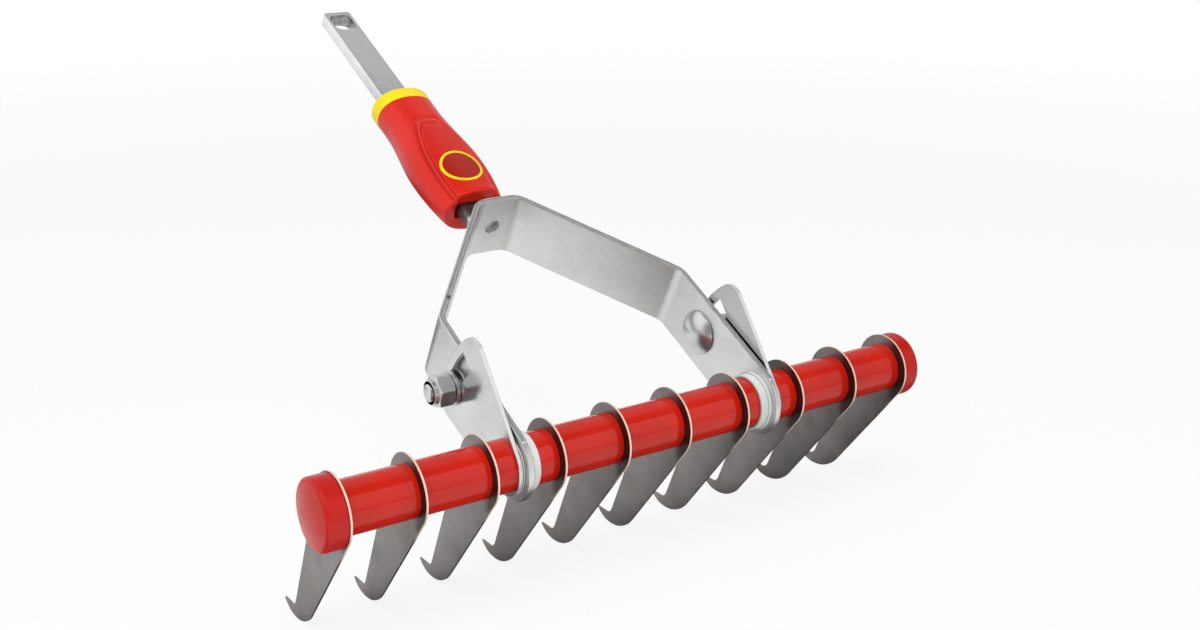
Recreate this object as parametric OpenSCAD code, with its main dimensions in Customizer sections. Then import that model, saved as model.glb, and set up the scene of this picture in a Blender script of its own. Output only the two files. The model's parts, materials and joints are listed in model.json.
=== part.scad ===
// Thatch rake head: hooked tines on a swinging roller, a bent strip yoke and a plug-in tang.
// Millimetres, +Z up. The origin is the middle of the collar's upper face, where a handle seats.

/* [Tines] */
// Distance from one tine to the next
tine_pitch = 33; // [30:0.5:40]
// Thickness of a tine
tine_t = 1; // [0.8:0.1:3]
// Radius of the ring at the top of a tine
tine_ring_r = 16.2; // [15:0.1:18]
// Distance from the roller's axis to the middle of the heel's arc
heel_reach = 65.5; // [56:0.5:80]
// Angle of that line below the horizontal
heel_angle = 45.6; // [42:0.2:49]
// Radius of the heel
heel_r = 21.5; // [19:0.5:24]
// Height of the hook's upper edge below the middle of the heel
hook_drop = 16.7; // [14:0.1:18]
// Slope of the blade's inner edge
inner_edge_angle = 65.4; // [64:0.2:67]
// Radius of the gullet between blade and hook
gullet_r = 5.5; // [3:0.1:6]

/* [Roller] */
// Diameter of the red tubes
tube_d = 23.2; // [21:0.1:26]
// Side of the square shaft
shaft_w = 12; // [10:0.5:13]
// Diameter of the shaft's threaded ends
shaft_thread_d = 10; // [8:0.5:11]
// Width across the flats of a shaft nut
shaft_nut_af = 16; // [14:0.5:17]
// Height of a shaft nut
shaft_nut_h = 4; // [3:0.5:5]
// Diameter of an end cap
cap_d = 31.2; // [30:0.2:36]
// Length of an end cap's side wall
cap_len = 9.6; // [7.6:0.2:10]
// Height of the crown on the cap's face
cap_crown = 1.6; // [0.6:0.1:2.5]
// Radius of the cap's rim
cap_rim_r = 2.4; // [0.6:0.1:2.5]

/* [Link plates] */
// Thickness of a link plate
plate_t = 2.1; // [1.8:0.1:3]
// Place of the plates between the third and fourth tines, as a share of the pitch
link_share = 0.624; // [0.58:0.002:0.66]
// Radius of the plate's eye
plate_eye_r = 13.4; // [13:0.1:17]
// Radius of the plate's top edge
plate_top_r = 56.5; // [52:0.5:62]
// Slope of the plate's front edge
plate_front_angle = 53.5; // [50:0.5:56]
// Slope of the plate's rear edge
plate_rear_angle = 24; // [20:0.5:26]
// Radius of the plate's two upper corners
plate_corner_r = 8.5; // [6:0.5:11]
// Wall between the arc slot and the plate's top edge
slot_wall = 4.3; // [3:0.1:6]
// Width of the arc slot
slot_w = 9.2; // [8.8:0.1:10]
// Swing of the roller from the rest pose until the hooks are lowest
swing_down = 20; // [12:1:22]
// Swing of the roller from the rest pose until the hooks are highest
swing_up = 1; // [0.5:0.5:4]

/* [Yoke] */
// Slope of yoke and tang above the horizontal
tilt = 27.4; // [20:0.2:35]
// Width of the strip
strip_w = 34; // [32:0.5:40]
// Radius of the round end of a tab
eye_r = 16.5; // [15.5:0.1:17]
// Reach of the strip's straight edges past the middle of the eye
eye_corner = 3; // [0:0.5:5]
// Thickness of the strip
strip_t = 3; // [2.5:0.1:3.5]
// Distance from the roller's axis to the bends of the two tabs
tab_len = 75; // [68:0.5:90]
// Distance from the roller's axis to the middle of the web
web_reach = 145; // [130:1:170]
// Width of the web between its bends
web_w = 22; // [20:0.5:30]
// Inner radius of the bends
bend_r = 8; // [3:0.5:10]
// Diameter of the hole in the web
web_hole_d = 7.6; // [5:0.1:9]

/* [Bushes] */
// Outer diameter of a bush
bush_d = 26.2; // [25.6:0.1:27.4]
// Diameter of the bush's flange
bush_flange_d = 27.8; // [27.4:0.1:31]
// Thickness of the flange
bush_flange_t = 1.8; // [1.2:0.1:2.5]
// Length of the bush inside the tab
bush_inner_len = 5.5; // [3.5:0.1:6.5]
// Length of the bush outside the tab
bush_outer_len = 0.3; // [0.2:0.1:0.4]

/* [Bolts] */
// Diameter of a bolt's shank
bolt_d = 8; // [7:0.5:8]
// Diameter of the domed head
bolt_head_d = 21.8; // [18:0.2:23]
// Height of the domed head
bolt_head_h = 6.4; // [3.5:0.1:7.5]
// Length of the bolt's end beyond its nut
bolt_end_len = 1.2; // [0.8:0.1:4]
// Diameter of the washers
washer_d = 16; // [15:0.5:18]
// Thickness of the washer under a nut
nut_washer_t = 1.6; // [1:0.1:2.2]
// Thickness of the washer between tab and link plate
gap_washer_t = 0.6; // [0.6:0.1:2.2]
// Width across the flats of a lock nut
nut_af = 13.5; // [12:0.5:14]
// Height of a lock nut's hexagon
nut_hex_h = 7.8; // [5.5:0.1:9]
// Height of the round collar that holds the nylon ring
nut_collar_h = 2; // [1.4:0.1:2.6]

/* [Tang] */
// Width of the tang
tang_w = 17.5; // [16.5:0.5:18]
// Thickness of the tang
tang_t = 7.5; // [6:0.1:8]
// Length of the tang beyond the collar
tang_out = 86; // [60:1:120]
// Drop of the tang's middle below the middle of the web
tang_drop = 3.75; // [0:0.25:6]
// Radius of the tang's long edges
tang_edge_r = 2; // [0.8:0.1:2.8]
// Radius of the two corners at the tang's end
tang_corner_r = 3; // [1.5:0.5:5]
// Width of the latch window
window_w = 12.6; // [9:0.2:13]
// Length of the latch window
window_len = 14; // [10:0.5:18]
// Radius of the latch window's corners
window_r = 4.4; // [2:0.1:4.6]
// Wall between the latch window and the tang's end
window_wall = 3; // [2.5:0.1:6]

/* [Sleeve and collar] */
// Distance from the web to the sleeve's lower end
sleeve_gap = 15; // [10:0.5:20]
// Length of the sleeve
sleeve_len = 81.5; // [75:0.5:100]
// Greatest width of the sleeve
sleeve_w = 41; // [39:0.5:46]
// Greatest thickness of the sleeve
sleeve_h = 25.5; // [24:0.5:30]
// Rise of the sleeve's middle at its lower end
sleeve_rise = -1; // [-2:0.5:1]
// Radius of the sleeve's lower rim
sleeve_rim_r = 1.6; // [0.8:0.1:2.2]
// Room beside the tang in the sleeve's lower opening
mouth_side = 2; // [1:0.1:3]
// Room above and below the tang in the sleeve's lower opening
mouth_top = 1.2; // [0.6:0.1:2]
// Greatest width of the raised panel on top
panel_w = 27.5; // [24:0.5:31]
// Width of the bevel round the panel
bevel_w = 2.2; // [1.6:0.1:3]
// Height of the panel above the sleeve's sides
panel_rise = 0.9; // [0.3:0.1:1.4]
// Length of the slope at the panel's upper end
panel_slope = 5; // [3:0.5:7]
// Distance that the panel's brow stands back from the sleeve's lower end
brow_setback = 1; // [0.5:0.5:4]
// Width of the collar
collar_w = 33; // [31.5:0.5:37]
// Thickness of the collar
collar_h = 25; // [23.5:0.5:28]
// Length of the collar
collar_len = 8; // [5:0.5:10]
// Radius of the collar's rims
collar_rim_r = 1; // [0.6:0.1:2.4]

/* [Hidden] */
$fn = 96;
// Running gap between a journal tube and its bush
journal_gap = 0.06;
// Gap between the square shaft and what is threaded on it
shaft_gap = 0.1;
// Gap of pieces that are pressed or screwed together
press_gap = 0.02;
// Play of the link plate between its two washers, on each side
plate_play = 0.15;
// Play of a bolt in a washer, and of its square neck in the tab
bolt_play = 0.15;
// Room left between bolt and slot end when the swing stops
stop_gap = 0.3;
// Gap between the tang and what is pushed on it
tang_gap = 0.25;
// Overrun of a cut
over = 1;
// Overlap of arcs that run into each other
blend = 0.02;
// Chamfer of nuts, bolt ends and bush rims
small_chamfer = 0.6;
// Radial thickness of the nylon ring in a lock nut
nut_ring_t = 1;
// Radial wall of a lock nut's collar at its tip, and the flat ledge round its foot
nut_collar_wall = 0.5;
nut_ledge = 0.3;
// Turn of the nuts on their bolts
nut_turn = 20;
// Round end face of a lock nut, as a share of its width, and the slope of its chamfers
nut_face_share = 0.95;
nut_chamfer_angle = 30;
// Length of the shaft's thread beyond its nut
shaft_end_len = 1.2;
// Room between the shaft's end and the cap
cap_room = 0.3;
// Number of tines
tine_n = 10;
// Point of the sleeve's greatest width and start of its even neck, as shares of its length
sleeve_peak_share = 0.385;
sleeve_neck_share = 0.885;
// Loss of width at the lower and upper ends, as shares of the greatest
sleeve_w_loss_shares = [0.19, 0.205];
// Loss of thickness at the lower and upper ends, as shares of the greatest
sleeve_h_loss_shares = [0.09, 0.03];
// Power of the taper of the sleeve and of its panel
taper_power = 2.1;
// Roundness of the sleeve's section and of the tang's slot in it
oval_power = 2.2;
slot_power = 8;
// Upper end and greatest width of the panel, as shares of the sleeve's length
panel_end_share = 0.748;
panel_peak_share = 0.335;
// Loss of the panel's width at its lower and upper ends, as shares of the greatest
panel_loss_shares = [0.16, 0.56];
// Power that fades the brow's setback along the sleeve
brow_power = 10;
// Places of the sleeve's rings, as shares of its length
panel_slope_share = panel_slope/2/sleeve_len;
sleeve_ring_shares = [0, 0.002, 0.006, 0.012, 0.02, 0.03, 0.05, 0.08, 0.12, 0.16, 0.21, 0.26, 0.32, 0.38,
    0.44, 0.5, 0.55, 0.6, 0.65, panel_end_share - panel_slope_share, panel_end_share,
    panel_end_share + panel_slope_share, 0.82, 0.86, 0.885, 0.94, 1];
// Places of the rings of the lower opening and the tang's slot, as shares of the sleeve's length
sleeve_bore_shares = [0, 0.1, 0.17, 1];
// Steps across the panel and round the rest of a ring
panel_steps = 10;
round_steps = 30;
// Steps of a rounded rim
rim_steps = 5;

tube_r = tube_d/2;
spacer_bore_r = shaft_w*sqrt(2)/2 + shaft_gap;
link_x = ((tine_n - 1)/2 - 3 + link_share)*tine_pitch;
plate_in = link_x - plate_t/2;
plate_out = link_x + plate_t/2;
tab_out = plate_in - plate_play - gap_washer_t;
tab_in = tab_out - strip_t;
tab_mid = tab_out - strip_t/2;
washer_in = plate_out + plate_play;
nut_in = washer_in + nut_washer_t;
nut_h = nut_hex_h + nut_collar_h;
bolt_end = nut_in + nut_h + bolt_end_len;
bolt_r = bolt_d/2;
slot_r = plate_top_r - slot_wall - slot_w/2;
stack_end = (tine_n - 1)/2*tine_pitch + tine_t/2;
shaft_end = stack_end + shaft_nut_h + shaft_end_len;
web_back = web_reach + strip_t/2;
sleeve_start = web_back + sleeve_gap;
sleeve_end = sleeve_start + sleeve_len;
seat_reach = sleeve_end + collar_len;
tang_reach = seat_reach + tang_out;
stop_angle = asin((bolt_r + stop_gap)/slot_r);
seat = [0, seat_reach*cos(tilt) + tang_drop*sin(tilt), seat_reach*sin(tilt) - tang_drop*cos(tilt)];

tine_colour = [0.42, 0.41, 0.4];
tube_colour = [0.78, 0.13, 0.1];
zinc_colour = [0.75, 0.76, 0.74];
cap_colour = [0.77, 0.2, 0.18];
bush_colour = [0.9, 0.91, 0.88];
steel_colour = [0.62, 0.63, 0.63];
sleeve_colour = [0.87, 0.14, 0.09];
collar_colour = [0.97, 0.88, 0.14];
nylon_colour = [0.85, 0.85, 0.8];

// Places and directions

function tine_x(i) = (i - (tine_n + 1)/2)*tine_pitch;
function dir(a) = [cos(a), sin(a)];
function flat(lists) = [for (l = lists) for (v = l) v];

// The roller's axis is X, its middle lies between the two middle tines
module on_roller() {
    translate(-seat)
        children();
}

// Y runs from the roller's axis along the tang, Z stands square on the strip's width
module on_tool() {
    on_roller()
        rotate([tilt, 0, 0])
            children();
}

// Side view outline, drawn as Y and Z, made solid from x0 to x1
module slab_x(x0, x1) {
    translate([x0, 0, 0])
        rotate([90, 0, 90])
            linear_extrude(x1 - x0)
                children();
}

// Half profile, radius against length, turned about the X axis and starting at x0
module turned_x(x0) {
    translate([x0, 0, 0])
        rotate([0, 90, 0])
            rotate_extrude()
                children();
}

module to_side(side) {
    mirror([side < 0 ? 1 : 0, 0, 0])
        children();
}

module at_bolt() {
    translate([0, slot_r, 0])
        children();
}

// Tines

module tine_outline() {
    heel = heel_reach*dir(-heel_angle);
    back = dir(-heel_angle - acos((tine_ring_r - heel_r)/heel_reach));
    inner = dir(90 - inner_edge_angle);
    hook_z = heel[1] - hook_drop;
    gullet_z = hook_z + gullet_r;
    gullet = [(tine_ring_r + gullet_r - inner[1]*gullet_z)/inner[0], gullet_z];
    ring_point = tine_ring_r*inner;
    behind = heel[0] + heel_r + over;
    difference() {
        union() {
            circle(tine_ring_r);
            translate(heel)
                circle(heel_r);
            polygon([[0, 0], tine_ring_r*back, heel + heel_r*back, heel, gullet, ring_point]);
        }
        polygon([ring_point, gullet - gullet_r*inner, [gullet[0], hook_z], [behind, hook_z],
            [behind, ring_point[1]]]);
        translate(gullet)
            circle(gullet_r);
    }
}

module tine(i) {
    color(tine_colour)
        on_roller()
            slab_x(tine_x(i) - tine_t/2, tine_x(i) + tine_t/2)
                difference() {
                    tine_outline();
                    square(shaft_w + 2*shaft_gap, center = true);
                }
}

// Red tubes

module tube_between(x0, x1) {
    color(tube_colour)
        on_roller()
            slab_x(x0, x1)
                difference() {
                    circle(tube_r);
                    circle(spacer_bore_r);
                }
}

module spacer(i) {
    tube_between(tine_x(i) + tine_t/2, tine_x(i + 1) - tine_t/2);
}

module short_spacer_left() {
    tube_between(tine_x(3) + tine_t/2, -plate_out);
}

module short_spacer_right() {
    tube_between(plate_out, tine_x(8) - tine_t/2);
}

module journal_left() {
    tube_between(-plate_in, tine_x(4) - tine_t/2);
}

module journal_right() {
    tube_between(tine_x(7) + tine_t/2, plate_in);
}

// Link plates

module slot_outline() {
    front = tilt + swing_down + stop_angle;
    rear = tilt - swing_up - stop_angle;
    reach = 2*slot_r;
    intersection() {
        difference() {
            circle(slot_r + slot_w/2);
            circle(slot_r - slot_w/2);
        }
        polygon([[0, 0], reach*dir(rear), reach*dir((front + rear)/2), reach*dir(front)]);
    }
}

module plate_outline() {
    f = dir(plate_front_angle + 90);
    r = dir(plate_rear_angle - 90);
    inset = plate_eye_r - plate_corner_r;
    run = sqrt(pow(plate_top_r + blend - plate_corner_r, 2) - pow(inset, 2));
    front = inset*f + run*dir(plate_front_angle);
    rear = inset*r + run*dir(plate_rear_angle);
    reach = 2*plate_top_r/norm(front);
    eye_side = plate_eye_r - blend;
    corner_side = plate_corner_r - blend;
    intersection() {
        circle(plate_top_r);
        union() {
            circle(plate_eye_r);
            for (corner = [front, rear])
                translate(corner)
                    circle(plate_corner_r);
            polygon([[0, 0], eye_side*f, front + corner_side*f, front, reach*front,
                reach*(front + rear)/2, reach*rear, rear, rear + corner_side*r, eye_side*r]);
        }
    }
}

module link_plate(side) {
    color(zinc_colour)
        on_roller()
            to_side(side)
                slab_x(plate_in, plate_out)
                    difference() {
                        plate_outline();
                        slot_outline();
                        square(shaft_w + 2*shaft_gap, center = true);
                    }
}

// Shaft, its nuts and the caps

module roller_shaft() {
    color(steel_colour)
        on_roller() {
            slab_x(-stack_end, stack_end)
                square(shaft_w, center = true);
            for (side = [-1, 1])
                to_side(side)
                    slab_x(stack_end, shaft_end)
                        circle(shaft_thread_d/2);
        }
}

module shaft_nut(side) {
    color(steel_colour)
        on_roller()
            to_side(side)
                slab_x(stack_end, stack_end + shaft_nut_h)
                    difference() {
                        circle(shaft_nut_af/sqrt(3), $fn = 6);
                        circle(shaft_thread_d/2 + press_gap);
                    }
}

module cap_profile() {
    r = cap_d/2;
    face_r = r - cap_rim_r;
    dome_r = (pow(face_r, 2) + pow(cap_crown, 2))/(2*cap_crown);
    union() {
        square([r, cap_len - cap_rim_r]);
        square([face_r, cap_len]);
        translate([face_r, cap_len - cap_rim_r])
            circle(cap_rim_r);
        intersection() {
            translate([0, cap_len + cap_crown - dome_r])
                circle(dome_r);
            square([face_r, cap_len + cap_crown]);
        }
    }
}

module end_cap(side) {
    bore_r = shaft_nut_af/sqrt(3) + shaft_gap;
    color(cap_colour)
        on_roller()
            to_side(side)
                turned_x(stack_end)
                    difference() {
                        cap_profile();
                        square([bore_r, shaft_end - stack_end + cap_room]);
                    }
}

// Bushes in the eyes of the yoke

module bush(side) {
    inner_end = tab_in - bush_inner_len;
    bore = tube_r + journal_gap;
    outer = bush_d/2;
    tip = outer - small_chamfer;
    flange = bush_flange_d/2;
    length = tab_out + bush_outer_len - inner_end;
    flange_end = bush_inner_len;
    flange_start = bush_inner_len - bush_flange_t;
    color(bush_colour)
        on_roller()
            to_side(side)
                turned_x(inner_end)
                    polygon([[bore, 0], [tip, 0], [outer, small_chamfer], [outer, flange_start],
                        [flange, flange_start], [flange, flange_end], [outer, flange_end],
                        [outer, length], [bore, length]]);
}

// Yoke

// Half of the U, filled out to a distance from the strip's middle line: X across, Y along the tang
module filled_half(out, start) {
    mid_r = bend_r + strip_t/2;
    corner = [tab_mid, tab_len];
    turn = [web_w/2, web_reach];
    arm_angle = atan2(turn[1] - corner[1], turn[0] - corner[0]);
    tab_bend = corner - mid_r*[1, tan((arm_angle - 90)/2)];
    web_bend = turn - mid_r*[tan((180 - arm_angle)/2), 1];
    r = mid_r + out;
    square_on_arm = r*dir(arm_angle - 90);
    union() {
        polygon([[-over, start], [tab_mid + out, start], [tab_mid + out, tab_bend[1]],
            tab_bend + square_on_arm, web_bend + square_on_arm, [web_bend[0], web_reach + out],
            [-over, web_reach + out]]);
        for (bend = [tab_bend, web_bend])
            translate(bend)
                circle(r);
    }
}

module filled_outline(out, start) {
    union() {
        filled_half(out, start);
        mirror([1, 0])
            filled_half(out, start);
    }
}

module strip_outline() {
    difference() {
        filled_outline(strip_t/2, -eye_r - over);
        filled_outline(-strip_t/2, -eye_r - 2*over);
    }
}

// Side view of the whole strip: rounded at the eyes, as wide as the strip
module strip_side() {
    difference() {
        union() {
            circle(eye_r);
            translate([-eye_corner, -strip_w/2])
                square([eye_corner + web_back + over, strip_w]);
        }
        circle(bush_d/2 + press_gap);
        at_bolt_2d()
            square(bolt_d + 2*bolt_play, center = true);
    }
}

module at_bolt_2d() {
    translate([slot_r, 0])
        children();
}

module yoke() {
    half_w = tab_out + over;
    color(zinc_colour)
        on_tool()
            difference() {
                intersection() {
                    translate([0, 0, -strip_w/2])
                        linear_extrude(strip_w)
                            strip_outline();
                    slab_x(-half_w, half_w)
                        strip_side();
                }
                translate([0, web_back + over, 0])
                    rotate([90, 0, 0])
                        cylinder(h = strip_t + 2*over, d = web_hole_d);
            }
}

// Bolts, washers and nuts

module carriage_bolt(side) {
    dome_r = (pow(bolt_head_d/2, 2) + pow(bolt_head_h, 2))/(2*bolt_head_h);
    color(zinc_colour)
        on_tool()
            to_side(side)
                at_bolt() {
                    turned_x(tab_in - bolt_head_h)
                        intersection() {
                            translate([0, dome_r])
                                circle(dome_r);
                            square([bolt_head_d/2, bolt_head_h]);
                        }
                    slab_x(tab_in, tab_out)
                        square(bolt_d, center = true);
                    turned_x(tab_out)
                        polygon([[0, 0], [bolt_r, 0], [bolt_r, bolt_end - tab_out - small_chamfer],
                            [bolt_r - small_chamfer, bolt_end - tab_out], [0, bolt_end - tab_out]]);
                }
}

module washer(x0, thick) {
    slab_x(x0, x0 + thick)
        difference() {
            circle(washer_d/2);
            circle(bolt_r + bolt_play);
        }
}

module gap_washers() {
    color(zinc_colour)
        on_tool()
            for (side = [-1, 1])
                to_side(side)
                    at_bolt()
                        washer(tab_out, gap_washer_t);
}

module nut_washers() {
    color(zinc_colour)
        on_tool()
            for (side = [-1, 1])
                to_side(side)
                    at_bolt()
                        washer(washer_in, nut_washer_t);
}

module lock_nut(side) {
    wide_r = nut_af/sqrt(3) + over;
    face_r = nut_face_share*nut_af/2;
    rise = (wide_r - face_r)*tan(nut_chamfer_angle);
    ring_r = bolt_r + press_gap + nut_ring_t;
    collar_r = ring_r + nut_collar_wall;
    color(zinc_colour)
        on_tool()
            to_side(side)
                at_bolt()
                    difference() {
                        union() {
                            intersection() {
                                slab_x(nut_in, nut_in + nut_hex_h)
                                    rotate(nut_turn)
                                        circle(nut_af/sqrt(3), $fn = 6);
                                turned_x(nut_in)
                                    polygon([[0, 0], [face_r, 0], [wide_r, rise], [wide_r, nut_hex_h - rise],
                                        [face_r, nut_hex_h], [0, nut_hex_h]]);
                            }
                            turned_x(nut_in + nut_hex_h)
                                polygon([[0, 0], [face_r - nut_ledge, 0], [collar_r, nut_collar_h],
                                    [0, nut_collar_h]]);
                        }
                        slab_x(nut_in - over, nut_in + nut_h + over)
                            circle(bolt_r + press_gap);
                        slab_x(nut_in + nut_hex_h, nut_in + nut_h + over)
                            circle(ring_r);
                    }
}

module nut_rings() {
    ring_r = bolt_r + press_gap + nut_ring_t;
    color(nylon_colour)
        on_tool()
            for (side = [-1, 1])
                to_side(side)
                    at_bolt()
                        slab_x(nut_in + nut_hex_h, nut_in + nut_h)
                            difference() {
                                circle(ring_r - press_gap);
                                circle(bolt_r + press_gap);
                            }
}

// Tang

module rounded_box_2d(size, r) {
    union() {
        square([size[0], size[1] - 2*r], center = true);
        square([size[0] - 2*r, size[1]], center = true);
        for (sx = [-1, 1])
            for (sy = [-1, 1])
                translate([sx*(size[0]/2 - r), sy*(size[1]/2 - r)])
                    circle(r);
    }
}

// Plan of the tang: square at the web, rounded corners at the free end
module tang_plan() {
    half = tang_w/2;
    corner_y = tang_reach - tang_corner_r;
    window_y = tang_reach - window_wall - window_len/2;
    difference() {
        union() {
            translate([-half, web_back])
                square([tang_w, corner_y - web_back]);
            translate([tang_corner_r - half, web_back])
                square([tang_w - 2*tang_corner_r, tang_reach - web_back]);
            for (side = [-1, 1])
                translate([side*(half - tang_corner_r), corner_y])
                    circle(tang_corner_r);
        }
        translate([0, window_y])
            rounded_box_2d([window_w, window_len], window_r);
    }
}

module tang() {
    color(steel_colour)
        on_tool()
            translate([0, 0, -tang_drop])
                intersection() {
                    translate([0, 0, -tang_t/2])
                        linear_extrude(tang_t)
                            tang_plan();
                    translate([0, tang_reach, 0])
                        rotate([90, 0, 0])
                            linear_extrude(tang_reach - web_back)
                                rounded_box_2d([tang_w, tang_t], tang_edge_r);
                }
}

// Sleeve and collar: skins of rings that follow the tang

function spow(value, power) = sign(value)*pow(abs(value), power);
function ease(t) = t*t*(3 - 2*t);

// Loss of size at place s: a taper to the lower end, an even neck at the upper one
function sleeve_loss(s, shares) = s < sleeve_peak_share
    ? shares[0]*pow((sleeve_peak_share - s)/sleeve_peak_share, taper_power)
    : shares[1]*ease(min(1, (s - sleeve_peak_share)/(sleeve_neck_share - sleeve_peak_share)));
function panel_loss(t) = t < panel_peak_share
    ? panel_loss_shares[0]*pow((panel_peak_share - t)/panel_peak_share, taper_power)
    : panel_loss_shares[1]*pow((t - panel_peak_share)/(1 - panel_peak_share), taper_power);

function sleeve_a(s) = sleeve_w/2*(1 - sleeve_loss(s, sleeve_w_loss_shares));
function sleeve_b(s) = sleeve_h/2*(1 - sleeve_loss(s, sleeve_h_loss_shares));
function sleeve_mid(s) = sleeve_rise*pow(1 - s, 3) - tang_drop;
function panel_half(s) = panel_w/2*(1 - panel_loss(min(s/panel_end_share, 1)));

// Inset of the rounded lower rim at depth d from the end
function rim_inset(d) = d >= sleeve_rim_r
    ? 0
    : sleeve_rim_r - sqrt(pow(sleeve_rim_r, 2) - pow(sleeve_rim_r - d, 2));

// Point of an oval of half sizes a and b at place y along the tang and height z
function oval_point(a, b, power, t, y, z) = [a*spow(cos(t), 2/power), y, z + b*spow(sin(t), 2/power)];

// Angles of one ring: right bevel, panel, left bevel, then round below
function ring_angles(s) =
    let (a = sleeve_a(s))
    let (edge = acos(pow(panel_half(s)/a, oval_power/2)))
    let (lip = bevel_w/2/a*180/PI)
    let (first = edge + lip)
    let (span = 180 - 2*first)
    let (last = 180 - edge + lip)
    let (rest = 360 + edge - lip - last)
    concat([edge - lip, edge],
        [for (i = [0:panel_steps]) first + span*i/panel_steps],
        [180 - edge],
        [for (i = [0:round_steps - 1]) last + rest*i/round_steps]);

// Share of the panel's height at point i of a ring, and at place s along the sleeve
function across(i) = i == 1 || i == panel_steps + 3 ? 0.5 : i > 1 && i < panel_steps + 3 ? 1 : 0;
function lengthwise(s) = max(0, min(1, (1 + (panel_end_share - s)/panel_slope_share)/2));

// Place along the tang of point i of the ring at s: the panel's brow stands back
function ring_y(s, i) = sleeve_start + sleeve_len*s + brow_setback*across(i)*pow(1 - s, brow_power);

function sleeve_ring(s) =
    let (angles = ring_angles(s))
    [for (i = [0:len(angles) - 1])
        let (rise = panel_rise*across(i)*lengthwise(s) - rim_inset(s*sleeve_len))
        oval_point(sleeve_a(s) + rise, sleeve_b(s) + rise, oval_power, angles[i], ring_y(s, i),
            sleeve_mid(s))];

function tang_ring(y, angles) = [for (t = angles)
    oval_point(tang_w/2 + tang_gap, tang_t/2 + tang_gap, slot_power, t, y, -tang_drop)];

function sleeve_bore(k) =
    let (s = sleeve_bore_shares[k])
    let (angles = ring_angles(s))
    k > 1 ? tang_ring(sleeve_start + sleeve_len*s, angles)
        : [for (i = [0:len(angles) - 1])
            oval_point(tang_w/2 + mouth_side, tang_t/2 + mouth_top, slot_power, angles[i], ring_y(s, i),
                -tang_drop)];

function band(first, second, n) = [for (i = [0:n - 1])
    let (j = (i + 1)%n)
    each [[first + i, second + i, second + j], [first + i, second + j, first + j]]];

// Closed skin: outer rings, inner rings and the two faces that join them
module skin(outer, inner) {
    n = len(outer[0]);
    inside = n*len(outer);
    last_out = inside - n;
    last_in = inside + n*(len(inner) - 1);
    faces = concat(
        flat([for (k = [0:len(outer) - 2]) band(k*n, (k + 1)*n, n)]),
        flat([for (k = [0:len(inner) - 2]) band(inside + (k + 1)*n, inside + k*n, n)]),
        band(inside, 0, n),
        band(last_out, last_in, n));
    polyhedron(concat(flat(outer), flat(inner)), faces);
}

module sleeve() {
    color(sleeve_colour)
        on_tool()
            skin([for (s = sleeve_ring_shares) sleeve_ring(s)],
                [for (k = [0:len(sleeve_bore_shares) - 1]) sleeve_bore(k)]);
}

module collar() {
    angles = ring_angles(1);
    turns = [for (i = [0:rim_steps]) dir(90*i/rim_steps)];
    // Inset and place of each ring: round the lower rim, then round the upper one
    rims = concat(
        [for (t = turns) [1 - t[1], 1 - t[0]]*collar_rim_r],
        [for (t = turns) [0, collar_len] + [1 - t[0], t[1] - 1]*collar_rim_r]);
    color(collar_colour)
        on_tool()
            skin([for (p = rims)
                    [for (t = angles)
                        oval_point(collar_w/2 - p[0], collar_h/2 - p[0], oval_power, t, sleeve_end + p[1],
                            sleeve_mid(1))]],
                [tang_ring(sleeve_end, angles), tang_ring(seat_reach, angles)]);
}

for (i = [1:tine_n])
    tine(i);
spacer(1);  // spacer_1
spacer(2);  // spacer_2
spacer(4);  // spacer_3
spacer(5);  // spacer_4
spacer(6);  // spacer_5
spacer(8);  // spacer_6
spacer(9);  // spacer_7
short_spacer_left();
short_spacer_right();
journal_left();
journal_right();
link_plate(-1);  // link_plate_left
link_plate(1);  // link_plate_right
roller_shaft();
shaft_nut(-1);  // shaft_nut_left
shaft_nut(1);  // shaft_nut_right
end_cap(-1);  // end_cap_left
end_cap(1);  // end_cap_right
bush(-1);  // bush_left
bush(1);  // bush_right
yoke();
carriage_bolt(-1);  // carriage_bolt_left
carriage_bolt(1);  // carriage_bolt_right
gap_washers();
nut_washers();
lock_nut(-1);  // lock_nut_left
lock_nut(1);  // lock_nut_right
nut_rings();
tang();
sleeve();
collar();
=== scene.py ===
# %% [markdown]
# # A thatch rake head
#
# The rake is a row of thin hooked blades threaded on a red roller. The roller swings in a bent
# strip of zinc plated steel, and a flat bar with a red plastic sleeve plugs into a long handle.
# The solid parts are loaded first as a fixed frame. This lesson gives every part its finish and
# builds the pieces whose fine shape the solids leave out.

# %% Load the frame
import json
import math

import bpy
from mathutils import Matrix, Vector, noise


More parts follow.
